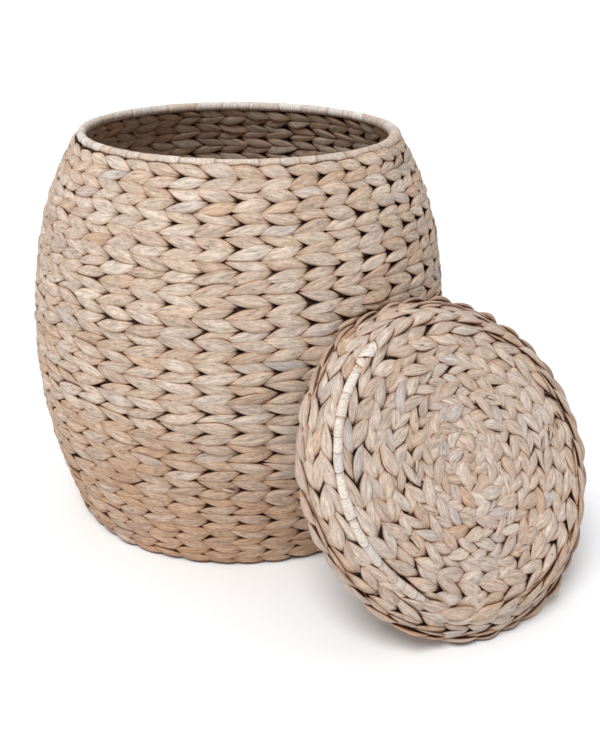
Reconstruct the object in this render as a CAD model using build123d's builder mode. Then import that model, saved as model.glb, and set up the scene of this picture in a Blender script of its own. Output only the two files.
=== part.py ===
"""Round, bulging laundry basket woven from plant-fibre strands, with a loose woven lid.

Millimetres, +Z up. The origin is the middle of the basket's underside, on the floor.
The basket stands at the origin and its lid leans on its front, face outwards.

Every woven piece is a ring of twined rows. A row is two strands twisted around each
other and around the wire stakes, so its section bulges in the middle of the row and
dips where it meets the next one. Two rows with opposite twists make one course, and
each course, hoop, binding and set of wires is a piece of its own.
"""
import os
from math import cos, radians, sin

from build123d import *

os.makedirs("parts", exist_ok=True)

# Basket wall: radii and heights of the outside of the weave
BASE_RADIUS = 218
BELLY_RADIUS = 266.5
BELLY_HEIGHT = 240
SHOULDER_RADIUS = 251
SHOULDER_HEIGHT = 380
NECK_RADIUS = 203.5
NECK_HEIGHT = 492
WALL_THICKNESS = 13
WALL_COURSES = 20
WALL_STAKES = 40

# Base, a flat woven disc that the basket stands on
BASE_THICKNESS = 12
BASE_DISC_RADIUS = 199.5
BASE_CENTRE_RADIUS = 16
BASE_COURSES = 7
BASE_SPOKES = 20

# Lid, in its own frame, whose floor is the plane of the lid's open edge
LID_RADIUS = 194.6
LID_CORNER_RADIUS = 164.5
LID_CORNER_HEIGHT = 38
LID_FACE_HEIGHT = 42.5
LID_CROWN_HEIGHT = 45
LID_THICKNESS = 11
LID_CENTRE_RADIUS = 13
LID_COURSES = 6
LID_SKIRT_ROWS = 3
LID_LONG_SPOKES = 15
LID_SHORT_SPOKES = 15
SHORT_SPOKE_START = 62

# How the lid stands: its face's tilt from upright, and where its middle is in plan
LID_TILT = 31.6
LID_OFFSET = 62
LID_DISTANCE = 358.4

# Twined rows, the wires inside them, and the fibre strips bound round the hoops
ROWS_PER_COURSE = 2
ROW_DIP = 2.5
WIRE_RADIUS = 1.5
HOOP_RADIUS = 2.5
RIM_BINDING_RADIUS = 6
CORNER_BINDING_RADIUS = 5.5
EDGE_BINDING_RADIUS = 4.5
GAP = 0.1


def save(piece, name):
    """Label a finished piece and write it to its own file."""
    piece.label = name
    export_step(piece, f"parts/{name}.step")


def outline_point(outline, distance, depth):
    """Point at a distance along an outline, sunk by depth into the thickness on its left."""
    place = outline.position_at(distance, position_mode=PositionMode.LENGTH)
    along = outline.tangent_at(distance, position_mode=PositionMode.LENGTH)
    return (place.X - depth * along.Y, place.Y + depth * along.X)


def woven_ring(section, axis, outline, start, end, rows, thickness, outer_dip=ROW_DIP):
    """Ring of twined rows that covers a stretch of an outline of radii and heights."""
    first = start + GAP / 2
    pitch = (end - start - GAP) / rows
    with BuildPart() as ring:
        with BuildSketch(section):
            with BuildLine():
                for face_depth, dip in ((0, outer_dip), (thickness, -ROW_DIP)):
                    for row in range(rows):
                        low = first + row * pitch
                        low_point = outline_point(outline, low, face_depth + dip)
                        crest = outline_point(outline, low + pitch / 2, face_depth)
                        high_point = outline_point(outline, low + pitch, face_depth + dip)
                        if dip == 0:
                            Line(low_point, high_point)
                        else:
                            ThreePointArc(low_point, crest, high_point)
                for distance in (first, first + rows * pitch):
                    Line(
                        outline_point(outline, distance, outer_dip),
                        outline_point(outline, distance, thickness - ROW_DIP),
                    )
            make_face()
        revolve(axis=axis)
    return ring.part


def save_courses(name, count, section, axis, outline, rows, thickness, outer_dip=ROW_DIP):
    """Share an outline out between equal woven rings and write each of them."""
    share = outline.length / count
    for number in range(count):
        start = number * share
        ring = woven_ring(
            section, axis, outline, start, start + share, rows, thickness, outer_dip
        )
        save(ring, f"{name}_{number + 1:02d}")


def knot(plane, radius, thickness):
    """Disc of strands knotted over the crossing at the middle of a woven round."""
    with BuildPart() as disc:
        with BuildSketch(plane):
            Circle(radius - GAP)
        extrude(amount=thickness)
        fillet(disc.faces().sort_by(Axis(plane.origin, plane.z_dir))[-1].edges(), ROW_DIP)
    return disc.part


def hoop(section, axis, radius, height):
    """Wire bent into a circle and welded."""
    with BuildPart() as ring:
        with BuildSketch(section):
            with Locations((radius, height)):
                Circle(HOOP_RADIUS)
        revolve(axis=axis)
    return ring.part


def binding(section, axis, radius, height, outer_radius):
    """Sleeve of fibre strip wound round the hoop that has this radius and height."""
    with BuildPart() as sleeve:
        with BuildSketch(section):
            with Locations((radius, height)):
                Circle(outer_radius)
                Circle(HOOP_RADIUS + GAP, mode=Mode.SUBTRACT)
        revolve(axis=axis)
    return sleeve.part


def straight_wires(axis_plane, start, end, count, first_angle=0):
    """Straight wires around an axis, each between two points of radius and height."""
    run = Vector(end[0] - start[0], 0, end[1] - start[1])
    with BuildPart() as wires:
        with BuildPart(mode=Mode.PRIVATE) as wire:
            with BuildSketch(Plane(origin=(start[0], 0, start[1]), z_dir=run)):
                Circle(WIRE_RADIUS)
            extrude(amount=run.length)
        with Locations(axis_plane):
            with PolarLocations(0, count, start_angle=first_angle):
                add(wire.part)
    return wires.part


# ---------------------------------------------------------------- basket wall
base_edge = (BASE_RADIUS, 0)
belly = (BELLY_RADIUS, BELLY_HEIGHT)
shoulder = (SHOULDER_RADIUS, SHOULDER_HEIGHT)
neck = (NECK_RADIUS, NECK_HEIGHT)
with BuildLine() as wall_outline:
    belly_down = TangentArc(belly, base_edge, tangent=(0, -1), mode=Mode.PRIVATE)
    ThreePointArc(base_edge, belly_down @ 0.5, belly)
    upper_belly = TangentArc(belly, shoulder, tangent=(0, 1))
    TangentArc(shoulder, neck, tangent=upper_belly % 1)
wall_line = wall_outline.wire()
save_courses(
    "wall_course",
    WALL_COURSES,
    Plane.XZ,
    Axis.Z,
    wall_line,
    ROWS_PER_COURSE,
    WALL_THICKNESS,
)

# The rim hoop and its binding sit on the middle of the wall's top edge
neck_heading = wall_line.tangent_at(1)
wall_top = outline_point(wall_line, wall_line.length, WALL_THICKNESS / 2)
rim_radius = wall_top[0] + RIM_BINDING_RADIUS * neck_heading.X
rim_height = wall_top[1] + RIM_BINDING_RADIUS * neck_heading.Y + GAP
save(hoop(Plane.XZ, Axis.Z, rim_radius, rim_height), "rim_hoop")
save(binding(Plane.XZ, Axis.Z, rim_radius, rim_height, RIM_BINDING_RADIUS), "rim_binding")

# Stakes follow the middle of the wall from its foot to the rim binding
middle_of_wall = WALL_THICKNESS / 2
shoulder_heading = upper_belly % 1
stake_foot = outline_point(wall_line, 2 * WIRE_RADIUS, middle_of_wall)
stake_belly = (BELLY_RADIUS - middle_of_wall, BELLY_HEIGHT)
stake_shoulder = (
    SHOULDER_RADIUS - middle_of_wall * shoulder_heading.Y,
    SHOULDER_HEIGHT + middle_of_wall * shoulder_heading.X,
)
stake_top = outline_point(wall_line, wall_line.length - GAP, middle_of_wall)
with BuildPart() as wall_stakes:
    with BuildLine(Plane.XZ) as stake_line:
        foot_up = TangentArc(stake_belly, stake_foot, tangent=(0, -1), mode=Mode.PRIVATE)
        foot_middle = foot_up @ 0.5
        ThreePointArc(stake_foot, (foot_middle.X, foot_middle.Z), stake_belly)
        TangentArc(stake_belly, stake_shoulder, tangent=(0, 1))
        TangentArc(
            stake_shoulder, stake_top, tangent=(shoulder_heading.X, shoulder_heading.Y)
        )
    with BuildSketch(Plane(origin=stake_line.line @ 0, z_dir=stake_line.line % 0)):
        Circle(WIRE_RADIUS)
    stake = sweep(mode=Mode.PRIVATE)
    with PolarLocations(0, WALL_STAKES):
        add(stake)
save(wall_stakes.part, "wall_stakes")

# ---------------------------------------------------------------- base
with BuildLine() as base_outline:
    Line((BASE_CENTRE_RADIUS, 0), (BASE_DISC_RADIUS, 0))
save_courses(
    "base_course",
    BASE_COURSES,
    Plane.XZ,
    Axis.Z,
    base_outline.wire(),
    ROWS_PER_COURSE,
    BASE_THICKNESS,
    outer_dip=0,
)
save(knot(Plane.XY, BASE_CENTRE_RADIUS, BASE_THICKNESS), "base_centre")

# The base hoop lies between the base disc and the wall, at the ends of the spokes
base_wire_height = BASE_THICKNESS / 2
base_hoop_radius = BASE_DISC_RADIUS + HOOP_RADIUS + 2 * GAP
save(hoop(Plane.XZ, Axis.Z, base_hoop_radius, base_wire_height), "base_hoop")
base_spokes = straight_wires(
    Plane.XY,
    (BASE_CENTRE_RADIUS, base_wire_height),
    (BASE_DISC_RADIUS, base_wire_height),
    BASE_SPOKES,
)
save(base_spokes, "base_spokes")

# ---------------------------------------------------------------- lid
tilt = radians(LID_TILT)
edge_radius = LID_RADIUS - EDGE_BINDING_RADIUS
edge_height = EDGE_BINDING_RADIUS
lid_lift = edge_radius * cos(tilt) - edge_height * sin(tilt) + EDGE_BINDING_RADIUS
LID = Plane(
    origin=(LID_OFFSET, -LID_DISTANCE, lid_lift),
    x_dir=(1, 0, 0),
    z_dir=(0, -cos(tilt), sin(tilt)),
)
LID_SECTION = Plane(origin=LID.origin, x_dir=LID.x_dir, z_dir=-LID.y_dir)
LID_AXIS = Axis(LID.origin, LID.z_dir)

# Face: a slightly domed round of courses inside the corner binding
face_edge = (LID_CORNER_RADIUS - CORNER_BINDING_RADIUS, LID_FACE_HEIGHT)
face_crown = (LID_CENTRE_RADIUS, LID_CROWN_HEIGHT)
with BuildLine() as face_outline:
    dome = TangentArc(face_crown, face_edge, tangent=(1, 0), mode=Mode.PRIVATE)
    ThreePointArc(face_edge, dome @ 0.5, face_crown)
save_courses(
    "lid_course",
    LID_COURSES,
    LID_SECTION,
    LID_AXIS,
    face_outline.wire(),
    ROWS_PER_COURSE,
    LID_THICKNESS,
)
save(
    knot(LID.offset(LID_CROWN_HEIGHT - LID_THICKNESS), LID_CENTRE_RADIUS, LID_THICKNESS),
    "lid_centre",
)

# Hoops and bindings at the lid's corner and at its open edge
save(hoop(LID_SECTION, LID_AXIS, LID_CORNER_RADIUS, LID_CORNER_HEIGHT), "lid_corner_hoop")
lid_corner_binding = binding(
    LID_SECTION, LID_AXIS, LID_CORNER_RADIUS, LID_CORNER_HEIGHT, CORNER_BINDING_RADIUS
)
save(lid_corner_binding, "lid_corner_binding")
save(hoop(LID_SECTION, LID_AXIS, edge_radius, edge_height), "lid_edge_hoop")
lid_edge_binding = binding(
    LID_SECTION, LID_AXIS, edge_radius, edge_height, EDGE_BINDING_RADIUS
)
save(lid_edge_binding, "lid_edge_binding")

# Skirt: single rows between the two bindings, square to the line between the hoops
slope = Vector(LID_CORNER_RADIUS - edge_radius, LID_CORNER_HEIGHT - edge_height).normalized()
outward = Vector(slope.Y, -slope.X) * (LID_THICKNESS / 2)
edge_centre = Vector(edge_radius, edge_height)
corner_centre = Vector(LID_CORNER_RADIUS, LID_CORNER_HEIGHT)
with BuildLine() as skirt_outline:
    Line(
        edge_centre + slope * (EDGE_BINDING_RADIUS + GAP) + outward,
        corner_centre - slope * (CORNER_BINDING_RADIUS + GAP) + outward,
    )
save_courses(
    "lid_skirt_row",
    LID_SKIRT_ROWS,
    LID_SECTION,
    LID_AXIS,
    skirt_outline.wire(),
    1,
    LID_THICKNESS,
)

# Wires inside the face and the skirt, between the centre knot and the bindings
face_wire_height = LID_FACE_HEIGHT - LID_THICKNESS / 2
crown_wire_height = LID_CROWN_HEIGHT - LID_THICKNESS / 2
spoke_centre = (LID_CENTRE_RADIUS, crown_wire_height)
spoke_rim = (face_edge[0] - GAP, face_wire_height)
short_share = (SHORT_SPOKE_START - spoke_centre[0]) / (spoke_rim[0] - spoke_centre[0])
short_spoke_start = (
    SHORT_SPOKE_START,
    crown_wire_height + short_share * (face_wire_height - crown_wire_height),
)
half_spoke_spacing = 180 / LID_LONG_SPOKES
with BuildPart() as lid_spokes:
    add(straight_wires(LID, spoke_centre, spoke_rim, LID_LONG_SPOKES))
    add(
        straight_wires(
            LID, short_spoke_start, spoke_rim, LID_SHORT_SPOKES, half_spoke_spacing
        )
    )
save(lid_spokes.part, "lid_spokes")
skirt_start = edge_centre + slope * (EDGE_BINDING_RADIUS + GAP)
skirt_end = corner_centre - slope * (CORNER_BINDING_RADIUS + GAP)
lid_skirt_stakes = straight_wires(
    LID,
    (skirt_start.X, skirt_start.Y),
    (skirt_end.X, skirt_end.Y),
    LID_LONG_SPOKES + LID_SHORT_SPOKES,
)
save(lid_skirt_stakes, "lid_skirt_stakes")
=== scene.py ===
import math

import bpy
import numpy as np
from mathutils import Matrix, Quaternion, Vector


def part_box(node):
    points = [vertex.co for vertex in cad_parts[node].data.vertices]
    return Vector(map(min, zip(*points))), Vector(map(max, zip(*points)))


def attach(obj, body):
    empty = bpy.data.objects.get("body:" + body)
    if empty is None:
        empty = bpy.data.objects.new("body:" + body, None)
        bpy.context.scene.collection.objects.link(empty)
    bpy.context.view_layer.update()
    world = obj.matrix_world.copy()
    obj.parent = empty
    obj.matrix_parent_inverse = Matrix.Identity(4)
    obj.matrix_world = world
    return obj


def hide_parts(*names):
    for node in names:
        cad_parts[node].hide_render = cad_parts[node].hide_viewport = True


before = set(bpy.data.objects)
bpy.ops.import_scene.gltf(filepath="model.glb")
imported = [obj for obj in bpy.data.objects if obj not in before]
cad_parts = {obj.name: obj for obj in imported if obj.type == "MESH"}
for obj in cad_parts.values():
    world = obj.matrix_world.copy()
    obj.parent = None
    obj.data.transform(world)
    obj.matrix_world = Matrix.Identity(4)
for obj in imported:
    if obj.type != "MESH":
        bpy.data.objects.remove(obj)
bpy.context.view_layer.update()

# ---------------------------------------------------------------- named values (metres, degrees)
WALL_COURSES = 20
BASE_COURSES = 7
LID_COURSES = 6
LID_OUTER_COURSES = 2                                # these have broader leaves than the middle
LID_LOOSE_COURSES = 4                                # the lid's loose ends are on these, from its rim
SKIRT_ROWS = 3
ROWS_PER_COURSE = 2
HOOP_RADIUS = 0.0025

# Leaves in a row, one over each stake or spoke, and for the discs a number for each row
WALL_LEAVES = 40
SKIRT_LEAVES = 36
LID_LEAVES = (30, 30, 30, 30, 28, 26, 24, 20, 20, 16, 10, 10)        # rim of the lid to its centre
BASE_LEAVES = (10, 10, 16, 16, 24, 24, 24, 32, 32, 32, 32, 40, 40, 40)     # centre to edge
SAME_LEAN_ROW = 10                                   # counted from the rim: it leans like the next row

# A leaf's shape, in rows ROW_PITCH apart. Pairs are for its first and its last tip
ROW_PITCH = 0.0127
LEAF_REACH = 0.73                                    # its half length, in distances between stakes
TIP_LENGTHS = (1.16, 0.98)                           # how far each tip reaches, in half lengths
WIDE_SPACING = 0.032                                 # over stakes closer than this, leaves reach further
CLOSE_REACH = 0.6                                    # by this power of how many times closer they are
LEAF_RISE = 0.0075                                   # how far it climbs from one stake to the next
LEAF_HALF_WIDTH = 0.0083
LEAF_HALF_THICKNESS = 0.0030
LEAF_OUT = 0.0034                                    # how far its middle stands off the row's line
LEAF_DIVE = (0.0014, 0.0050)                         # how far each tip drops from there
LEAF_POINT = (1.45, 1.65)                            # power in its outline: higher is blunter
THINNING = 3                                         # power in its thickness: higher stays thick for longer
LEAF_SQUARE = 0.72                                   # 1 makes its section an ellipse, less is squarer
OUTSIDE = (1, 12, 16)                                # side of the row, rings along and points round a leaf
INSIDE = (-1, 9, 10)

# Steepness, unevenness, added greyness and fullness of the leaves
WALL_LOOK = (1.0, 1.0, 0.0, 1.07)
LID_LOOK = (1.25, 1.4, 0.20, 1.14)
LID_MIDDLE_LOOK = (1.60, 1.5, 0.20, 0.90)

# How leaves differ from each other, as standard deviations. The first five are times the unevenness
REACH_SPREAD = 0.07
WIDTH_SPREAD = 0.08
CLIMB_SPREAD = 0.10
ALONG_SPREAD = 0.05                                  # in distances between stakes
UP_SPREAD = 0.0006
OUT_SPREAD = 0.00038                                 # this one is times the unevenness squared
BOW_SPREAD = 0.0007
ROLL_SPREAD = 0.13
SWELL_SPREAD = 0.045
SWELL_WAVES = (3, 4, 5)                              # waves of uneven thickness round the section
FOLD_DEPTH = 0.16                                    # lengthwise folds: depth, waves across, their start
FOLD_WAVES = (4.5, 1.2)
FOLD_START_SPREAD = 1.6

# Rows wander together: size, waves round the ring, change with height, and start of each wave
SWAYS = ((0.0011, 2, 9, 0.4), (0.0009, 5, -14, 2.1), (0.0007, 9, 23, 4.0))
CORE_HALF_WIDTH = 0.54                               # of the band of painted dark shade in a row's middle, in row pitches
CORE_HALF_THICKNESS = 0.0009
CORE_POINTS = 8
FLOOR_SOFTNESS = 0.0025                              # what is this near the floor is pressed flat by it

# Colour of leaves: middle and spread, the few odd ones, and the shade painted onto them
TONE = (0.55, 0.17)
GREYNESS = (0.08, 0.12)
WARMTH = (0.12, 0.13)
ODD_SHARE = 0.05
ODD_GREYNESS = 0.45
ODD_WARMTH = 0.3
MIDDLE_TONE = 0.18                                   # added along a leaf's middle, partly painted light where it stands out
EDGE_TONE = 0.62                                     # taken off again towards its edges and tips: partly a browner margin, partly painted shade where it turns away and dives under its neighbours
EDGE_WARMTH = 0.30
FOOT_SHADE_HEIGHTS = (0.03, 0.26)                                  # painted shade: the basket is painted darker and browner down between these heights, for the shade on its lower wall
FOOT_SHADE_TONE = 0.46
FOOT_SHADE_WARMTH = 0.34
MARGIN_SHADE = 0.6                                   # painted shade: how much darker the very edge of a leaf is, for the shadow along its outline
MARGIN = 0.99                                        # cosine round the section past which the edge lies
SHADE_DEPTHS = (-0.0006, 0.0026)                             # painted shade: dark to light between these heights over the row's line, so that sunken parts take the dark core colour

FIBRES_ROUND = 3.4                                   # grain noise cells, as a radius round the section
FIBRE_CELL = 0.016                                   # and the length of one cell along the strand
GRAIN_SPREAD = 100                                   # each leaf has its grain from somewhere in this range


# ---------------------------------------------------------------- frames to build in
class Axis:
    """A ring's own frame: rings lie round z, and angles start at x."""

    def __init__(self, origin, x, y, z):
        self.origin, self.x, self.y, self.z = (np.array(v, float) for v in (origin, x, y, z))

    def radial(self, angle):
        return np.multiply.outer(np.cos(angle), self.x) + np.multiply.outer(np.sin(angle), self.y)

    def point(self, radius, height, angle):
        return (self.origin + self.radial(angle) * np.asarray(radius)[..., None]
                + np.multiply.outer(np.asarray(height), self.z))


def lid_axis():
    """The lid's frame, worked out from the box of its round edge hoop."""
    low, high = (np.array(v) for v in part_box("lid_edge_hoop"))
    half = (high - low) / 2 - HOOP_RADIUS
    rise = math.atan2(half[2], half[1])
    y = (0, math.cos(rise), math.sin(rise))
    return Axis((low + high) / 2, (1, 0, 0), y, (0, -y[2], y[1]))


BASKET = Axis((0, 0, 0), (1, 0, 0), (0, 1, 0), (0, 0, 1))
LID = lid_axis()


def profile(node, axis):
    """A ring node's lowest and highest (radius, height) about its axis."""
    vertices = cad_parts[node].data.vertices
    co = np.zeros(len(vertices) * 3, np.float32)
    vertices.foreach_get("co", co)
    rel = co.reshape(-1, 3) - axis.origin
    pairs = np.stack([np.hypot(rel @ axis.x, rel @ axis.y), rel @ axis.z], 1)
    return pairs.min(0), pairs.max(0)


def rows_along(nodes, axis, rows_per_node):
    """The rows of a run of ring nodes: for each, a list of (centre, travel, pitch) in the section plane."""
    centres = np.array([np.mean(profile(n, axis), axis=0) for n in nodes])
    travel = np.gradient(centres, axis=0)
    spacing = np.linalg.norm(travel, axis=1)
    travel = travel / spacing[:, None]
    rows = []
    for centre, way, gap in zip(centres, travel, spacing):
        pitch = gap / rows_per_node
        offsets = (np.arange(rows_per_node) - (rows_per_node - 1) / 2) * pitch
        rows.append([(centre + way * o, way, pitch) for o in offsets])
    return rows


# ---------------------------------------------------------------- meshes
class Mesh:
    """Gathers vertices, faces and the two attributes that the fibre materials read."""

    def __init__(self):
        self.co, self.faces, self.leaf, self.grain, self.count = [], [], [], [], 0

    def add(self, co, faces, leaf, grain):
        self.co.append(co.reshape(-1, 3))
        self.faces.append(np.asarray(faces) + self.count)
        self.leaf.append(np.broadcast_to(leaf, (*co.shape[:-1], 4)).reshape(-1, 4))
        self.grain.append(np.broadcast_to(grain, co.shape).reshape(-1, 3))
        self.count += self.co[-1].shape[0]

    def build(self, name, body, slot, material, *replaced):
        co = np.concatenate(self.co)
        flat = [f.reshape(-1) for f in self.faces]
        sizes = np.concatenate([np.full(len(f), f.shape[1]) for f in self.faces])
        data = bpy.data.meshes.new(name)
        data.vertices.add(len(co))
        data.vertices.foreach_set("co", co.astype(np.float32).ravel())
        data.loops.add(int(sizes.sum()))
        data.loops.foreach_set("vertex_index", np.concatenate(flat).astype(np.int32))
        data.polygons.add(len(sizes))
        data.polygons.foreach_set("loop_start", (np.cumsum(sizes) - sizes).astype(np.int32))
        data.update(calc_edges=True)
        data.validate()
        data.shade_smooth()
        leaf = data.attributes.new("leaf", "FLOAT_COLOR", "POINT")
        leaf.data.foreach_set("color", np.concatenate(self.leaf).astype(np.float32).ravel())
        grain = data.attributes.new("grain", "FLOAT_VECTOR", "POINT")
        grain.data.foreach_set("vector", np.concatenate(self.grain).astype(np.float32).ravel())
        data.materials.append(material)
        piece = bpy.data.objects.new(name, data)
        bpy.context.scene.collection.objects.link(piece)
        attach(piece, body)
        if replaced:
            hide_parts(*replaced)


def grid_faces(rings, points, closed):
    """Quads between rings of points. The rings close on each other if closed."""
    i, j = np.meshgrid(np.arange(rings if closed else rings - 1), np.arange(points), indexing="ij")
    i2, j2 = (i + 1) % rings, (j + 1) % points
    return np.stack([i * points + j, i2 * points + j, i2 * points + j2, i * points + j2], -1).reshape(-1, 4)


def smooth(x, start, end):
    t = np.clip((x - start) / (end - start), 0, 1)
    return t * t * (3 - 2 * t)


def sway(angle, height):
    """How far hand-made rows wander up and down, much the same for neighbours, so that no gaps open."""
    return sum(size * np.sin(waves * angle + change * height + start) for size, waves, change, start in SWAYS)


def leaf_colours(count, rng):
    """Tone, greyness, warmth and exposure for each leaf. Exposure, here 1, is how much of a place's own colour
    shows through the painted dark shade.
    """
    tone = np.clip(rng.normal(*TONE, count), 0, 1)
    grey = np.clip(rng.normal(*GREYNESS, count), 0, 1) + (rng.random(count) < ODD_SHARE) * ODD_GREYNESS
    warm = np.clip(rng.normal(*WARMTH, count), 0, 1) + (rng.random(count) < ODD_SHARE) * ODD_WARMTH
    return np.stack([tone, np.clip(grey, 0, 1), np.clip(warm, 0, 1), np.ones(count)], 1)


def outward(co, faces):
    """The faces turned so that they look out of the closed shapes that they make."""
    a, b, c = (co.reshape(-1, 3)[faces[:, k]] for k in (0, 1, 2))
    middle = co.reshape(-1, 3).mean(0)
    volume = np.einsum("ij,ij->", a - middle, np.cross(b - middle, c - middle))
    return faces if volume > 0 else faces[:, ::-1]


def above_floor(co):
    """The points with those below or just over the floor squeezed into a thin layer on top of it."""
    z = co[..., 2]
    squeezed = FLOOR_SOFTNESS * np.exp(np.minimum(z / FLOOR_SOFTNESS - 1, 0))
    return np.concatenate([co[..., :2], np.where(z < FLOOR_SOFTNESS, squeezed, z)[..., None]], -1)


def add_shade_core(mesh, axis, row, count, rng):
    """The dark middle of a row, where its strands cross: a flat band along the row's line, all in painted dark
    shade for the shade between the strands.
    """
    (radius, height), way, pitch = row
    rings = 3 * count
    angle = np.arange(rings)[:, None] * math.tau / rings
    beta = np.arange(CORE_POINTS) * math.tau / CORE_POINTS
    up = pitch * CORE_HALF_WIDTH * np.cos(beta) + sway(angle, height)
    out = CORE_HALF_THICKNESS * np.sin(beta)
    co = axis.point(radius + up * way[0] + out * way[1], height + up * way[1] - out * way[0],
                    np.broadcast_to(angle, up.shape))
    # alpha 0: the whole band takes the painted dark shade colour
    leaf = np.append(leaf_colours(1, rng)[0, :3], 0.0)
    faces = grid_faces(rings, CORE_POINTS, True)
    mesh.add(above_floor(co), outward(co, faces), leaf, co / FIBRE_CELL)


def add_leaves(mesh, axis, row, count, lean, side, look, rng, bare=None):
    """A leaf over each stake on one side of a row: what shows of two strands twined round each other.

    u runs from -1 to 1 along a leaf, x is the same way in distances between stakes, and beta runs round
    its section. bare is a range of angles without leaves.
    """
    (radius, height), way, pitch = row
    steepness, unevenness, greyness, fullness = look
    face, rings, points = side
    size = pitch / ROW_PITCH

    def varied(middle, spread):
        return np.clip(rng.normal(middle, spread, count), middle - 2 * spread, middle + 2 * spread)[:, None]

    spacing = math.tau / count * radius
    reach = LEAF_REACH * max(1.0, WIDE_SPACING / spacing) ** CLOSE_REACH
    reach = reach * varied(1, REACH_SPREAD * unevenness)
    full = fullness * varied(1, WIDTH_SPREAD * unevenness)
    u = np.sin(np.linspace(-1, 1, rings + 2) * math.pi / 2)
    x = u * reach * np.where(u < 0, *TIP_LENGTHS) + varied(0, ALONG_SPREAD * unevenness)
    outline = 1 - np.abs(u) ** np.where(u < 0, *LEAF_POINT)
    angle = (np.arange(count)[:, None] + x) * math.tau / count
    bow = varied(0, BOW_SPREAD) * (1 - u**2)
    climb = LEAF_RISE * steepness * lean * face * varied(1, CLIMB_SPREAD * unevenness)
    up = size * (climb * u * reach + bow) + varied(0, UP_SPREAD * unevenness) + sway(angle, height)
    stand_off = LEAF_OUT - np.where(u < 0, *LEAF_DIVE) * u**2
    out = face * (size * stand_off + varied(0, OUT_SPREAD * unevenness**2))
    half_width = size * LEAF_HALF_WIDTH * full * outline
    half_thick = size * LEAF_HALF_THICKNESS * (1.5 - full / 2) * (1 - np.abs(u) ** THINNING)
    roll = varied(0, ROLL_SPREAD)[:, :, None]
    slope = (size * climb / spacing)[:, :, None]

    beta = np.arange(points) * math.tau / points
    swell = 1 + sum(SWELL_SPREAD * varied(0, 1)[:, :, None] * np.sin(waves * beta + rng.uniform(0, 6))
                    for waves in SWELL_WAVES)
    across, upward = (np.sign(f) * np.abs(f) ** LEAF_SQUARE for f in (np.cos(beta), np.sin(beta)))
    fold_waves, fold_start = varied(*FOLD_WAVES)[:, :, None], varied(0, FOLD_START_SPREAD)[:, :, None]
    fold = 1 + FOLD_DEPTH * np.sin(fold_waves * across + fold_start)
    wide = half_width[..., None] * across * swell
    thick = half_thick[..., None] * upward * swell * fold
    offset_out = out[..., None] + thick * np.cos(roll) - wide * np.sin(roll)
    offset_up = up[..., None] + thick * np.sin(roll) + wide * np.cos(roll)
    angles = angle[..., None] - wide * slope / radius
    co = axis.point(radius + offset_up * way[0] + offset_out * way[1],
                    height + offset_up * way[1] - offset_out * way[0], angles)
    body, tips = co[:, 1:-1].reshape(count, -1, 3), co[:, [0, -1]].mean(2)
    co = above_floor(np.concatenate([body, tips], 1))

    middle = np.arange(count) * math.tau / count
    kept = (middle < bare[0]) | (middle > bare[1]) if bare else np.full(count, True)
    first = np.arange(kept.sum())[:, None, None] * co.shape[1]
    j = np.arange(points)
    after = (j + 1) % points
    tip, last = rings * points, (rings - 1) * points
    ends = np.concatenate([np.stack([np.full(points, tip), after, j], 1),
                           np.stack([np.full(points, tip + 1), last + j, last + after], 1)])
    quads = (grid_faces(rings, points, False)[None] + first).reshape(-1, 4)
    fans = (ends[None, :, ::-1] + first).reshape(-1, 3)

    spot = rng.uniform(0, GRAIN_SPREAD, (count, 1, 3))
    along = np.concatenate([np.repeat(x[:, 1:-1], points, 1), x[:, [0, -1]]], 1)
    around = np.concatenate([np.tile(beta, rings), [0, 0]])
    grain = spot + np.stack(np.broadcast_arrays(FIBRES_ROUND * np.cos(around),
                                                FIBRES_ROUND * np.sin(around),
                                                along * spacing / FIBRE_CELL), -1)
    leaf = np.repeat(leaf_colours(count, rng)[:, None], co.shape[1], 1)
    # partly painted shade: darker and warmer towards edges and tips, lighter along the middle
    edge = np.maximum(np.abs(np.cos(beta)) ** 4, np.abs(u[1:-1, None]) ** 3)
    edge = np.append(edge.ravel(), [1, 1])
    leaf[..., 0] += MIDDLE_TONE - EDGE_TONE * edge
    # painted shade: darker and browner towards the basket's foot
    foot_shade = 1 - smooth(co[..., 2], *FOOT_SHADE_HEIGHTS) if axis is BASKET else 0
    leaf[..., 0] -= FOOT_SHADE_TONE * foot_shade
    leaf[..., 1] += greyness
    leaf[..., 2] += EDGE_WARMTH * edge + FOOT_SHADE_WARMTH * foot_shade
    # painted shade: sunken parts of a leaf and its very edges are darkened towards the dark core colour
    unshaded = smooth(offset_out * face, *SHADE_DEPTHS) * (1 - MARGIN_SHADE * (np.abs(np.cos(beta)) > MARGIN))
    leaf[..., 3] = np.concatenate([unshaded[:, 1:-1].reshape(count, -1), unshaded[:, [0, -1]].mean(2)], 1)
    co, leaf, grain = co[kept], leaf[kept], grain[kept]
    turned = outward(co, quads)[0, 0] != quads[0, 0]
    mesh.add(co, quads[:, ::-1] if turned else quads, leaf, grain)
    mesh.faces.append((fans[:, ::-1] if turned else fans) + mesh.count - co.shape[0] * co.shape[1])


def weave(name, body, axis, nodes, rows, leaves, leans, looks, rng):
    """Each ring node's rows of twined strands. leaves and leans have one entry a row, looks one a node."""
    counts, ways = iter(leaves), iter(leans)
    for number, (node, node_rows, look) in enumerate(zip(nodes, rows, looks), 1):
        mesh = Mesh()
        for row in node_rows:
            count, lean = next(counts), next(ways)
            add_shade_core(mesh, axis, row, count, rng)
            for side in (OUTSIDE, INSIDE):
                add_leaves(mesh, axis, row, count, lean, side, look, rng)
        mesh.build(f"{name}_{number:02d}", body, "twined_fibre", twined, node)


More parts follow.
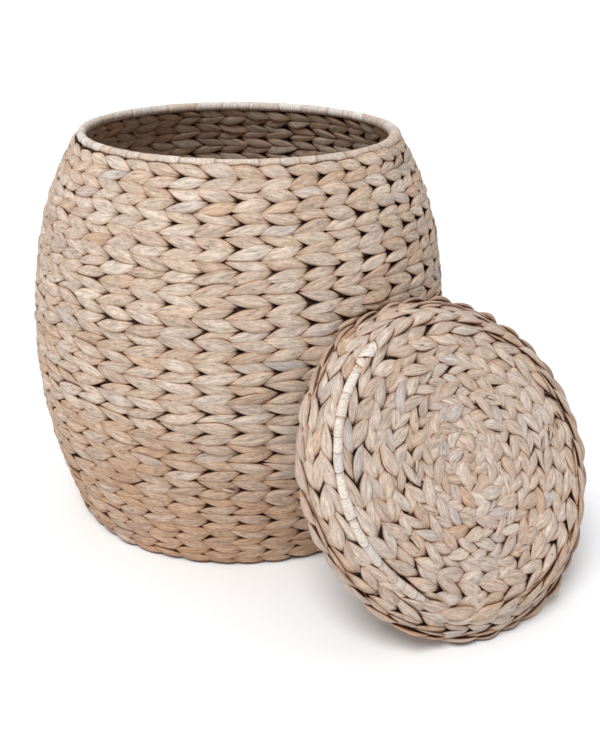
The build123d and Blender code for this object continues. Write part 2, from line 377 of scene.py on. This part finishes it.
def cover(name, body, axis, node, way, pitch, leaves, bare, rng):
    """A row of leaves wrapped over a bound hoop, on both sides of it, except where it is bare.

    way is the row's travel in the section plane. These leaves lie open, so none of them gets painted dark shade.
    """
    row = (np.mean(profile(node, axis), axis=0), np.array(way), pitch)
    mesh = Mesh()
    for side in (OUTSIDE, INSIDE):
        add_leaves(mesh, axis, row, leaves, 1, side, LID_LOOK, rng, bare)
    mesh.leaf = [np.column_stack([leaf[:, :3], np.ones(len(leaf))]) for leaf in mesh.leaf]
    mesh.build(name, body, "twined_fibre", twined)


# ---------------------------------------------------------------- bound hoops
# Across one turn of strip, and its height there: it rises from under the turn before it to its free edge
WRAP_ACROSS = np.array([0.0, 0.03, 0.15, 0.4, 0.7, 0.92, 0.985])
WRAP_HEIGHT = np.array([0.0, 0.15, 0.35, 0.55, 0.8, 1.0, 0.8])
WRAP_UNEVENNESS = (0.5, 1.5)                         # shortest and longest turn, before they are made to fit
SLANT_SPREAD = 0.0022
SLANT_START = 0.6                                    # radians round the section by which its lean comes early
STEP_SPREAD = 0.15                                   # how much turns differ in thickness, in steps
CREASES = ((0.014, 3), (0.010, 5))                   # depth and number of creases round the section
ROUND_POINTS = 22
UNDER_LEAVES = 0.62                                  # the strip's thickness where leaves lie over it
BARE_FADE = 0.1                                      # radians from there to its whole thickness
BARE_SWELL = (0.0004, 0.0006)                        # more thickness for the turns that show
RIM_SWELL = 0.30                                     # the rim's strip is this much thicker at its splice
RIM_SWELL_ANGLE = math.radians(325)
RIM_SWELL_WIDTH = 0.45
CORNER_BARE = (math.radians(124), math.radians(226))
NOWHERE_BARE = (7.0, 7.0)                            # past a whole turn, so nowhere on the hoop
PAINTED_LIGHT_ANGLE = math.radians(160)                       # where round a hoop its strip is painted palest: painted light on the side the light comes from
TURN_SHADE = 0.45                                    # painted shade: how much darker a turn is where it comes out from under the turn before
TURN_LIT = 0.3                                       # and the height on it where that ends
STRIP_FIBRES = (5, 3, 10)                            # grain across and round the strip, and from turn to turn
STRIP_GRAIN = 7.0                                    # and its third place in the noise


def bind(name, body, axis, node, wrap_length, step, slant, tones, rng, bare=None):
    """A hoop bound with flat strip. Each turn of the strip laps over the start of the next.

    slant is how far a strip's edge leans across the hoop. tones are added opposite and at the strip's palest
    angle; their difference is painted light on the side the light comes from.
    Outside the range of angles bare, the strip is pulled in, to leave room for leaves over it.
    """
    low, high = profile(node, axis)
    radius, height = (low + high) / 2
    tube = (high[1] - low[1]) / 2
    wraps = round(math.tau * radius / wrap_length)
    ends = np.cumsum(rng.uniform(*WRAP_UNEVENNESS, wraps))
    ends = np.concatenate([[0], ends / ends[-1] * math.tau])
    per = len(WRAP_ACROSS)
    wrap, part = np.divmod(np.arange(wraps * per), per)
    turn = np.arange(ROUND_POINTS) * math.tau / ROUND_POINTS
    slants = rng.normal(slant, SLANT_SPREAD, wraps)
    lean = slants[wrap] * (1 - WRAP_ACROSS[part]) + slants[(wrap + 1) % wraps] * WRAP_ACROSS[part]
    angle = ends[wrap] + WRAP_ACROSS[part] * (ends[wrap + 1] - ends[wrap])
    angles = angle[:, None] + lean[:, None] * np.sin(turn + SLANT_START) / radius
    thick = tube - step * (1 - WRAP_HEIGHT[part]) + rng.normal(0, STEP_SPREAD * step, wraps)[wrap]
    if axis is BASKET:
        thick = thick * (1 + RIM_SWELL * np.exp(-((angle - RIM_SWELL_ANGLE) / RIM_SWELL_WIDTH) ** 2))
    if bare:
        begun = smooth(angle, bare[0] - BARE_FADE, bare[0])
        ended = smooth(angle, bare[1], bare[1] + BARE_FADE)
        shown = begun * (1 - ended)
        thick = thick * (UNDER_LEAVES + (1 - UNDER_LEAVES) * shown)
        thick = thick + shown * rng.normal(*BARE_SWELL, wraps)[wrap]
    phase = rng.uniform(0, math.tau, (wraps, len(CREASES)))[wrap]
    crease = 1 + sum(depth * np.sin(number * turn + phase[:, i, None])
                     for i, (depth, number) in enumerate(CREASES))
    section = thick[:, None] * crease
    co = axis.point(radius + section * np.cos(turn), height + section * np.sin(turn), angles)
    leaf = np.repeat(leaf_colours(wraps, rng)[wrap][:, None], ROUND_POINTS, 1)
    # painted light: the strip is paler towards the side the light comes from
    leaf[..., 0] += (tones[0] + (tones[1] - tones[0]) * ((1 + np.cos(angle - PAINTED_LIGHT_ANGLE)) / 2) ** 3)[:, None]
    # painted shade where each turn comes out from under the one before
    leaf[..., 3] = (1 - TURN_SHADE + TURN_SHADE * smooth(WRAP_HEIGHT[part], 0.0, TURN_LIT))[:, None]
    fibres_across, fibres_round, next_wrap = STRIP_FIBRES
    across = fibres_across * WRAP_ACROSS[part] * wrap_length / tube + next_wrap * wrap
    round_way = np.abs(turn - math.pi) * tube / FIBRE_CELL * fibres_round + fibres_round * wrap[:, None]
    grain = np.stack(np.broadcast_arrays(across[:, None], STRIP_GRAIN, round_way), -1)
    mesh = Mesh()
    mesh.add(co, grid_faces(len(wrap), ROUND_POINTS, True)[:, ::-1], leaf, grain)
    mesh.build(name, body, "bound_strip", strip, node)


# ---------------------------------------------------------------- single leaves, ends and hairs
TIP_SIZE = 1e-4                                      # half width and thickness left at a blade's tips

# Laps of the tied end: start along the hoop, lean, half width, and distance from the hoop's wire
LAPS = ((-0.011, 0.9, 0.0050, 0.0060), (0.000, -1.0, 0.0056, 0.0072), (0.012, 0.6, 0.0048, 0.0062))
LAP_RINGS = 11
LAP_POINTS = 14
LAP_MIDDLE = math.pi / 4                             # radians round the hoop's section
LAP_REACH = 1.25
LAP_LEAN = 0.007
LAP_HALF_THICKNESS = 0.0010
LAP_TONE = 1.1

# Loose pieces: each pair is for the end of a strand, then for a hair
LOOSE_RINGS = (7, 10)
LOOSE_POINTS = (10, 5)
LOOSE_LENGTHS = ((0.012, 0.020), (0.010, 0.026))
LOOSE_CLIMB = (0.35, 0.7)                            # steepest slope against the row
LOOSE_OUT = (0.0030, 0.0045)                         # how much further out they end than they start
LOOSE_FLATNESS = (0.35, 0.8)
LOOSE_START = 0.0045                                 # off the row's line
LOOSE_ARCH = 0.0015
LOOSE_CURL = 0.006
LOOSE_WANDER = 0.4                                   # how far off the row's line they start, in row pitches
LOOSE_TAPER = (0.4, 1, 0.5)                          # share of the width at the start, the next ring and the end
END_HALF_WIDTH = (0.0016, 0.0026)
HAIR_HALF_WIDTH = 0.00016

KNOT_BLADES = 5
KNOT_RINGS = 11
KNOT_SPREAD = 1.12                                   # how far its leaves reach, in radii of the middle
KNOT_HALF_WIDTH = 0.0058
KNOT_HALF_THICKNESS = 0.0030
KNOT_SHIFT = (0.0022, 0.0016)                        # of the first leaf off the centre, and of each next
KNOT_STACK = 0.0006                                  # each leaf lies this much under the one before
KNOT_LIFT = (0.35, 0.4)                              # of its tips, and more of its middle, in half heights
KNOT_TURN = 0.06                                     # how unevenly they are turned, in half turns


def add_blade(mesh, points, across, half_width, half_thick, colour, rng, section=10):
    """A closed strand along points, flat across one direction at each, with a vertex at each end."""
    points, across = np.asarray(points, float), np.asarray(across, float)
    tangent = np.gradient(points, axis=0)
    tangent /= np.linalg.norm(tangent, axis=1)[:, None]
    across = across - (across * tangent).sum(1)[:, None] * tangent
    across /= np.linalg.norm(across, axis=1)[:, None]
    up = np.cross(tangent, across)
    beta = np.arange(section) * math.tau / section
    inner = slice(1, -1)
    co = (points[inner, None] + across[inner, None] * (half_width[inner, None] * np.cos(beta))[..., None]
          + up[inner, None] * (half_thick[inner, None] * np.sin(beta))[..., None])
    co = above_floor(co)
    rings = len(co)
    length = np.concatenate([[0], np.cumsum(np.linalg.norm(np.diff(points, axis=0), axis=1))])
    spot = rng.uniform(0, GRAIN_SPREAD, 3)
    grain = np.stack(np.broadcast_arrays(FIBRES_ROUND * np.cos(beta) + spot[0],
                                         FIBRES_ROUND * np.sin(beta) + spot[1],
                                         length[inner, None] / FIBRE_CELL + spot[2]), -1)
    first = mesh.count
    mesh.add(co, grid_faces(rings, section, False), colour, grain)
    ends = above_floor(np.array([points[0], points[-1]]))
    mesh.add(ends, np.zeros((0, 3), int), colour, grain[[0, -1], 0])
    j = np.arange(section)
    j2 = (j + 1) % section
    tip, tail = first + rings * section, first + rings * section + 1
    last = first + (rings - 1) * section
    mesh.faces.append(np.stack([np.full(section, tip), first + j, first + j2], 1))
    mesh.faces.append(np.stack([np.full(section, tail), last + j2, last + j], 1))


def random_colour(rng):
    return leaf_colours(1, rng)[0]


def tied_end(name, body, axis, node, angle, rng):
    """The end of a hoop's strip: three short laps folded over the hoop's outer side."""
    radius, height = np.mean(profile(node, axis), axis=0)
    mesh = Mesh()
    steps = np.linspace(-1, 1, LAP_RINGS)
    for start, lean, width, tube in LAPS:
        round_way = LAP_MIDDLE + steps * LAP_REACH
        place = angle + (start + lean * LAP_LEAN * steps) / radius
        points = axis.point(radius + tube * np.cos(round_way), height + tube * np.sin(round_way), place)
        across = axis.radial(place + math.pi / 2)
        shape = (1 - np.abs(steps) ** 3) ** 0.5
        colour = random_colour(rng)
        colour[0] = LAP_TONE
        add_blade(mesh, points, across, width * shape + TIP_SIZE, LAP_HALF_THICKNESS * shape + TIP_SIZE,
                  colour, rng, LAP_POINTS)
    mesh.build(name, body, "bound_strip", strip)


def loose_ends(name, body, axis, rows, ends, hairs, rng):
    """Short ends of strands and thin hairs that stand off the outside of random rows."""
    mesh = Mesh()
    first, second, last = LOOSE_TAPER
    for number in range(ends + hairs):
        kind = 0 if number < ends else 1
        (radius, height), way, pitch = rows[rng.integers(len(rows))]
        steps = np.linspace(0, 1, LOOSE_RINGS[kind])
        length = rng.uniform(*LOOSE_LENGTHS[kind])
        climb = rng.uniform(-LOOSE_CLIMB[kind], LOOSE_CLIMB[kind])
        curl = rng.uniform(-1, 1) * LOOSE_CURL
        run = rng.choice([-1, 1]) * length * steps
        out = LOOSE_START + LOOSE_OUT[kind] * steps + LOOSE_ARCH * np.sin(math.pi * steps)
        up = pitch * rng.uniform(-LOOSE_WANDER, LOOSE_WANDER) + climb * length * steps + curl * steps**2
        angle = rng.uniform(0, math.tau) + run / radius
        points = axis.point(radius + up * way[0] + out * way[1], height + up * way[1] - out * way[0], angle)
        across = axis.radial(angle) * way[0] + axis.z * way[1]
        width = HAIR_HALF_WIDTH if kind else rng.uniform(*END_HALF_WIDTH)
        taper = np.concatenate([[first], np.linspace(second, last, len(steps) - 1)])
        add_blade(mesh, points, across, width * taper, width * LOOSE_FLATNESS[kind] * taper,
                  random_colour(rng), rng, LOOSE_POINTS[kind])
    mesh.build(name, body, "twined_fibre", twined)


def knot(name, body, axis, node, side, rng):
    """The knot at the middle of a disc: leaves that cross over its centre, laid in turn."""
    low, high = profile(node, axis)
    radius, height = high[0] * KNOT_SPREAD, (low[1] + high[1]) / 2
    half = (high[1] - low[1]) / 2
    mesh = Mesh()
    steps = np.linspace(-1, 1, KNOT_RINGS)
    for face in (side, -side):
        for number in range(KNOT_BLADES):
            angle = math.pi * (number * 2 / KNOT_BLADES + rng.uniform(-KNOT_TURN, KNOT_TURN))
            along, across = axis.radial(angle), axis.radial(angle + math.pi / 2)
            lift = half * KNOT_LIFT[0] + half * KNOT_LIFT[1] * (1 - steps**2) - KNOT_STACK * number
            shift = np.full(KNOT_RINGS, KNOT_SHIFT[0] + KNOT_SHIFT[1] * number)
            points = (axis.origin + np.outer(steps * radius, along) + np.outer(shift, across)
                      + np.outer(height + face * lift, axis.z))
            shape = (1 - steps**2) ** 0.4
            add_blade(mesh, points, np.repeat(across[None], KNOT_RINGS, 0),
                      KNOT_HALF_WIDTH * shape + TIP_SIZE, KNOT_HALF_THICKNESS * shape + TIP_SIZE,
                      random_colour(rng), rng)
    mesh.build(name, body, "twined_fibre", twined, node)


# ---------------------------------------------------------------- materials
# Noises: scale, detail and roughness. The first two run along the strand
LINES = (1.0, 3.0, 0.65)
FINE_LINES = (3.1, 2.0, 0.6)
CRACKS = (1.7, 1.0, 0.5)
BLOTCHES = (130.0, 3.0, 0.6)
SCUFFS = (260.0, 4.0, 0.6)

# From one range of noise to a range of added tone, of light that is left, or of roughness
BLOTCH_TONE = (0.3, 0.7, -0.22, 0.22)
STREAK_LIGHT = (0.3, 0.7, 0.62, 1.20)
FINE_LIGHT = (0.3, 0.7, 0.82, 1.12)
CRACK_LIGHT = (0.27, 0.34, 0.45, 1.0)
FIBRE_ROUGHNESS = (0.3, 0.7, 0.86, 0.66)
SCUFF_SHARE = (0.35, 0.65, 0.0, 1.0)
WIRE_ROUGHNESS = (0.3, 0.7, 0.45, 0.7)

FIBRE_SHINE = 0.35
RELIEF_DEPTH = 0.0006
CREVICE_REACH = 0.0060                               # painted shade: colour darkens this far in between leaves, found by ambient occlusion
CREVICE_SAMPLES = 6
# painted shade: colour is multiplied by this where the leaf alpha puts a place in the dark core or in shade
CORE_SHADE_TINT = (0.07, 0.04, 0.03, 1.0)
# painted shade: tints by how open a place is to ambient occlusion rays, dark in crevices
CREVICE_SHADE_TINTS = ((0.28, (0.10, 0.055, 0.04, 1.0)), (0.58, (0.36, 0.23, 0.16, 1.0)),
                 (0.76, (0.82, 0.69, 0.59, 1.0)), (0.92, (1.0, 1.0, 1.0, 1.0)))


def srgb(*levels):
    """A colour given as 0 to 255 levels, as a linear colour."""
    share = np.array(levels) / 255
    return (*np.where(share <= 0.04045, share / 12.92, ((share + 0.055) / 1.055) ** 2.4), 1.0)


def mix(nodes, links, a, b, factor, blend="MIX"):
    """The mix of two colours. Each of a, b and factor is a value or another node's output."""
    node = nodes.new("ShaderNodeMix")
    node.data_type = "RGBA"
    node.blend_type = blend
    for socket, value in ((node.inputs[0], factor), (node.inputs[6], a), (node.inputs[7], b)):
        if isinstance(value, bpy.types.NodeSocket):
            links.new(value, socket)
        else:
            socket.default_value = value
    return node.outputs[2]


def remap(nodes, links, value, low, high, to_low, to_high):
    node = nodes.new("ShaderNodeMapRange")
    links.new(value, node.inputs["Value"])
    for name, number in zip(("From Min", "From Max", "To Min", "To Max"), (low, high, to_low, to_high)):
        node.inputs[name].default_value = number
    return node.outputs["Result"]


def noise(nodes, links, vector, scale, detail, roughness):
    node = nodes.new("ShaderNodeTexNoise")
    links.new(vector, node.inputs["Vector"])
    node.inputs["Scale"].default_value = scale
    node.inputs["Detail"].default_value = detail
    node.inputs["Roughness"].default_value = roughness
    return node.outputs["Fac"]


def ramp_of(nodes, links, value, stops):
    """A colour ramp over value, with (position, colour) stops."""
    node = nodes.new("ShaderNodeValToRGB")
    links.new(value, node.inputs["Fac"])
    elements = node.color_ramp.elements
    for extra in stops[2:]:
        elements.new(extra[0])
    for element, (position, colour) in zip(elements, stops):
        element.position, element.color = position, colour
    return node.outputs["Color"]


def fibre_material(name, dark, middle, light, grey, warm, bump):
    """Dry plant fibre. Tone, greyness and warmth come leaf by leaf, and fine lines run along the strand.

    The leaf attribute's alpha says how open a place is: where it is 0, the colour is the weave's dark core, a
    painted shade.
    Ambient occlusion also paints shade into the crevices between leaves.
    """
    material = bpy.data.materials.new(name)
    material.use_nodes = True
    nodes, links = material.node_tree.nodes, material.node_tree.links
    shader = nodes["Principled BSDF"]
    leaf = nodes.new("ShaderNodeAttribute")
    leaf.attribute_name = "leaf"
    channels = nodes.new("ShaderNodeSeparateColor")
    links.new(leaf.outputs["Color"], channels.inputs["Color"])
    grain = nodes.new("ShaderNodeAttribute")
    grain.attribute_name = "grain"
    lines = noise(nodes, links, grain.outputs["Vector"], *LINES)
    fine = noise(nodes, links, grain.outputs["Vector"], *FINE_LINES)
    cracks = noise(nodes, links, grain.outputs["Vector"], *CRACKS)
    place = nodes.new("ShaderNodeTexCoord").outputs["Object"]
    blotch = noise(nodes, links, place, *BLOTCHES)

    tone = nodes.new("ShaderNodeMath")
    tone.operation = "ADD"
    links.new(channels.outputs[0], tone.inputs[0])
    links.new(remap(nodes, links, blotch, *BLOTCH_TONE), tone.inputs[1])
    body = ramp_of(nodes, links, tone.outputs[0], ((0.0, dark), (0.5, middle), (1.0, light)))
    colour = mix(nodes, links, body, grey, channels.outputs[1])
    colour = mix(nodes, links, colour, warm, channels.outputs[2])
    for level, light_left in ((lines, STREAK_LIGHT), (fine, FINE_LIGHT), (cracks, CRACK_LIGHT)):
        colour = mix(nodes, links, colour, remap(nodes, links, level, *light_left), 1.0, "MULTIPLY")
    # painted shade in the crevices between leaves, by ambient occlusion
    crevice = nodes.new("ShaderNodeAmbientOcclusion")
    crevice.samples = CREVICE_SAMPLES
    crevice.inputs["Distance"].default_value = CREVICE_REACH
    crevice_shade = ramp_of(nodes, links, crevice.outputs["AO"], CREVICE_SHADE_TINTS)
    colour = mix(nodes, links, colour, crevice_shade, 1.0, "MULTIPLY")
    # painted shade: the dark core colour, taken where the leaf alpha is 0
    core = mix(nodes, links, colour, CORE_SHADE_TINT, 1.0, "MULTIPLY")
    colour = mix(nodes, links, core, colour, leaf.outputs["Alpha"])
    links.new(colour, shader.inputs["Base Color"])
    links.new(remap(nodes, links, lines, *FIBRE_ROUGHNESS), shader.inputs["Roughness"])
    shader.inputs["Specular IOR Level"].default_value = FIBRE_SHINE
    relief = nodes.new("ShaderNodeBump")
    relief.inputs["Strength"].default_value = bump
    relief.inputs["Distance"].default_value = RELIEF_DEPTH
    height = mix(nodes, links, lines, fine, 0.4)
    links.new(height, relief.inputs["Height"])
    links.new(relief.outputs["Normal"], shader.inputs["Normal"])
    return material


def wire_material():
    """Dull brown coated wire, with faint scuffs."""
    material = bpy.data.materials.new("coated_wire")
    material.use_nodes = True
    nodes, links = material.node_tree.nodes, material.node_tree.links
    shader = nodes["Principled BSDF"]
    place = nodes.new("ShaderNodeTexCoord").outputs["Object"]
    scuff = noise(nodes, links, place, *SCUFFS)
    share = remap(nodes, links, scuff, *SCUFF_SHARE)
    links.new(mix(nodes, links, srgb(104, 76, 54), srgb(134, 100, 71), share), shader.inputs["Base Color"])
    links.new(remap(nodes, links, scuff, *WIRE_ROUGHNESS), shader.inputs["Roughness"])
    return material


twined = fibre_material("twined_fibre", dark=srgb(175, 143, 119), middle=srgb(204, 181, 160),
                        light=srgb(224, 207, 190), grey=srgb(195, 186, 182), warm=srgb(202, 162, 129),
                        bump=0.9)
strip = fibre_material("bound_strip", dark=srgb(187, 158, 135), middle=srgb(211, 192, 175),
                       light=srgb(240, 232, 223), grey=srgb(207, 199, 194), warm=srgb(207, 174, 146),
                       bump=0.45)
wire = wire_material()

# ---------------------------------------------------------------- the weave
SEED = 20
CORNER_WAY = (-0.707, 0.707)                         # travel of the rows of leaves over the lid's bindings
EDGE_WAY = (0.26, 0.966)
CORNER_PITCH = 0.0118
EDGE_PITCH = 0.0125
CORNER_LEAVES = 32
EDGE_LEAVES = 34
TIED_END_ANGLE = CORNER_BARE[0] - 0.03


def numbered(name, count):
    return [f"{name}_{number:02d}" for number in range(1, count + 1)]


rng = np.random.default_rng(SEED)
wall_nodes = numbered("wall_course", WALL_COURSES)
wall_rows = rows_along(wall_nodes, BASKET, ROWS_PER_COURSE)
from_rim = range(ROWS_PER_COURSE * WALL_COURSES, 0, -1)
wall_leans = [1 if (row % 2 == 0) == (row <= SAME_LEAN_ROW) else -1 for row in from_rim]
weave("weave_wall", "basket", BASKET, wall_nodes, wall_rows, [WALL_LEAVES] * len(wall_leans), wall_leans,
      [WALL_LOOK] * WALL_COURSES, rng)

base_nodes = numbered("base_course", BASE_COURSES)
base_rows = rows_along(base_nodes, BASKET, ROWS_PER_COURSE)
weave("weave_base", "basket", BASKET, base_nodes, base_rows, BASE_LEAVES, [1, -1] * BASE_COURSES,
      [WALL_LOOK] * BASE_COURSES, rng)
knot("knot_base", "basket", BASKET, "base_centre", -1, rng)

lid_nodes = numbered("lid_course", LID_COURSES)
lid_rows = rows_along(lid_nodes, LID, ROWS_PER_COURSE)
lid_looks = [LID_LOOK] * LID_OUTER_COURSES + [LID_MIDDLE_LOOK] * (LID_COURSES - LID_OUTER_COURSES)
weave("weave_lid", "lid", LID, lid_nodes, lid_rows, LID_LEAVES, [1, -1] * LID_COURSES, lid_looks, rng)
knot("knot_lid", "lid", LID, "lid_centre", 1, rng)

skirt_nodes = numbered("lid_skirt_row", SKIRT_ROWS)
weave("weave_skirt", "lid", LID, skirt_nodes, rows_along(skirt_nodes, LID, 1), [SKIRT_LEAVES] * SKIRT_ROWS,
      [1, -1, 1], [LID_LOOK] * SKIRT_ROWS, rng)

bind("bound_rim", "basket", BASKET, "rim_binding", wrap_length=0.030, step=0.0005, slant=0.0,
     tones=(0.1, 0.3), rng=rng)
bind("bound_lid_corner", "lid", LID, "lid_corner_binding", wrap_length=0.022, step=0.0006, slant=0.003,
     tones=(-0.4, 0.6), rng=rng, bare=CORNER_BARE)
bind("bound_lid_edge", "lid", LID, "lid_edge_binding", wrap_length=0.030, step=0.0006, slant=0.012,
     tones=(-0.3, 0.0), rng=rng, bare=NOWHERE_BARE)
cover("weave_lid_corner", "lid", LID, "lid_corner_binding", CORNER_WAY, CORNER_PITCH, CORNER_LEAVES,
      CORNER_BARE, rng)
cover("weave_lid_edge", "lid", LID, "lid_edge_binding", EDGE_WAY, EDGE_PITCH, EDGE_LEAVES, None, rng)

tied_end("tied_end_corner", "lid", LID, "lid_corner_binding", TIED_END_ANGLE, rng)
loose_ends("loose_wall", "basket", BASKET, sum(wall_rows[1:-1], []), ends=16, hairs=90, rng=rng)
loose_rows = rows_along(lid_nodes[:LID_LOOSE_COURSES], LID, ROWS_PER_COURSE)
loose_ends("loose_lid", "lid", LID, sum(loose_rows, []), ends=8, hairs=40, rng=rng)

# ---------------------------------------------------------------- wires that stay from the CAD model
for node in ("rim_hoop", "base_hoop", "base_spokes", "wall_stakes", "lid_spokes", "lid_corner_hoop",
             "lid_edge_hoop", "lid_skirt_stakes"):
    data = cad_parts[node].data
    data.materials.clear()
    data.materials.append(wire)

# ---------------------------------------------------------------- floor, light and camera
FLOOR_HALF = 30.0
FLOOR_DROP = 0.0005                                  # just under the object, so that the two don't touch
FLOOR_WHITE = (0.93, 0.93, 0.93, 1)
FLOOR_ROUGHNESS = 0.95
SENSOR_WIDTH = 36.0
CAMERA_AT = (-0.7258, -1.2521, 0.7585)
CAMERA_AZIMUTH = 56.73                               # the way it looks, from +X towards +Y
CAMERA_DIP = 21.9
CAMERA_ROLL = 0.75
FOCAL_RATIO = 1150 / 733                             # focal length over picture height
WORLD_STRENGTH = (0.10, 0.84)                        # at the horizon and overhead
WORLD_COLOURS = ((1.0, 0.92, 0.84, 1.0), (0.97, 0.99, 1.02, 1.0))
BRIGHT_SIDE = (-0.84, 0.55, 0.0)                     # the way towards the world's brighter side
SIDE_STRENGTH = (0.75, 1.25)                         # share of the light from the far and the bright side
SUN_STRENGTH = 2.35
SUN_COLOUR = (0.98, 1.0, 1.02)
SUN_FROM = (-0.66, -0.47, 1.15)
SUN_SPREAD = 28.0


def add_floor():
    data = bpy.data.meshes.new("floor")
    s = FLOOR_HALF
    data.from_pydata([(-s, -s, 0), (s, -s, 0), (s, s, 0), (-s, s, 0)], [], [(0, 1, 2, 3)])
    material = bpy.data.materials.new("floor_white")
    material.use_nodes = True
    shader = material.node_tree.nodes["Principled BSDF"]
    shader.inputs["Base Color"].default_value = FLOOR_WHITE
    shader.inputs["Roughness"].default_value = FLOOR_ROUGHNESS
    shader.inputs["Specular IOR Level"].default_value = 0.0
    data.materials.append(material)
    floor = bpy.data.objects.new("floor", data)
    bpy.context.scene.collection.objects.link(floor)
    floor.location.z = -FLOOR_DROP


def add_lights():
    """A soft pale studio, brighter overhead and on one side, and one wide sun."""
    world = bpy.data.worlds.new("studio")
    world.use_nodes = True
    nodes, links = world.node_tree.nodes, world.node_tree.links
    background = nodes["Background"]
    parts = nodes.new("ShaderNodeSeparateXYZ")
    way = nodes.new("ShaderNodeTexCoord").outputs["Generated"]
    links.new(way, parts.inputs["Vector"])
    links.new(mix(nodes, links, *WORLD_COLOURS, parts.outputs["Z"]), background.inputs["Color"])
    side = nodes.new("ShaderNodeVectorMath")
    side.operation = "DOT_PRODUCT"
    links.new(way, side.inputs[0])
    side.inputs[1].default_value = BRIGHT_SIDE
    total = nodes.new("ShaderNodeMath")
    total.operation = "MULTIPLY"
    by_height = remap(nodes, links, parts.outputs["Z"], 0.0, 1.0, *WORLD_STRENGTH)
    by_side = remap(nodes, links, side.outputs["Value"], -1.0, 1.0, *SIDE_STRENGTH)
    links.new(by_height, total.inputs[0])
    links.new(by_side, total.inputs[1])
    links.new(total.outputs[0], background.inputs["Strength"])
    bpy.context.scene.world = world
    sun = bpy.data.lights.new("key", "SUN")
    sun.energy = SUN_STRENGTH
    sun.color = SUN_COLOUR
    sun.angle = math.radians(SUN_SPREAD)
    key = bpy.data.objects.new("key", sun)
    key.rotation_mode = "QUATERNION"
    key.rotation_quaternion = (-Vector(SUN_FROM)).to_track_quat("-Z", "Y")
    bpy.context.scene.collection.objects.link(key)


def add_camera():
    data = bpy.data.cameras.new("camera")
    data.sensor_width = SENSOR_WIDTH
    data.lens = SENSOR_WIDTH * FOCAL_RATIO
    camera = bpy.data.objects.new("camera", data)
    azimuth, dip = math.radians(CAMERA_AZIMUTH), math.radians(CAMERA_DIP)
    look = Vector((math.cos(azimuth) * math.cos(dip), math.sin(azimuth) * math.cos(dip), -math.sin(dip)))
    camera.location = CAMERA_AT
    camera.rotation_mode = "QUATERNION"
    roll = Quaternion((0, 0, 1), math.radians(CAMERA_ROLL))
    camera.rotation_quaternion = look.to_track_quat("-Z", "Y") @ roll
    bpy.context.scene.collection.objects.link(camera)
    bpy.context.scene.camera = camera


add_floor()
add_lights()
add_camera()
bpy.context.scene.view_settings.view_transform = "Standard"
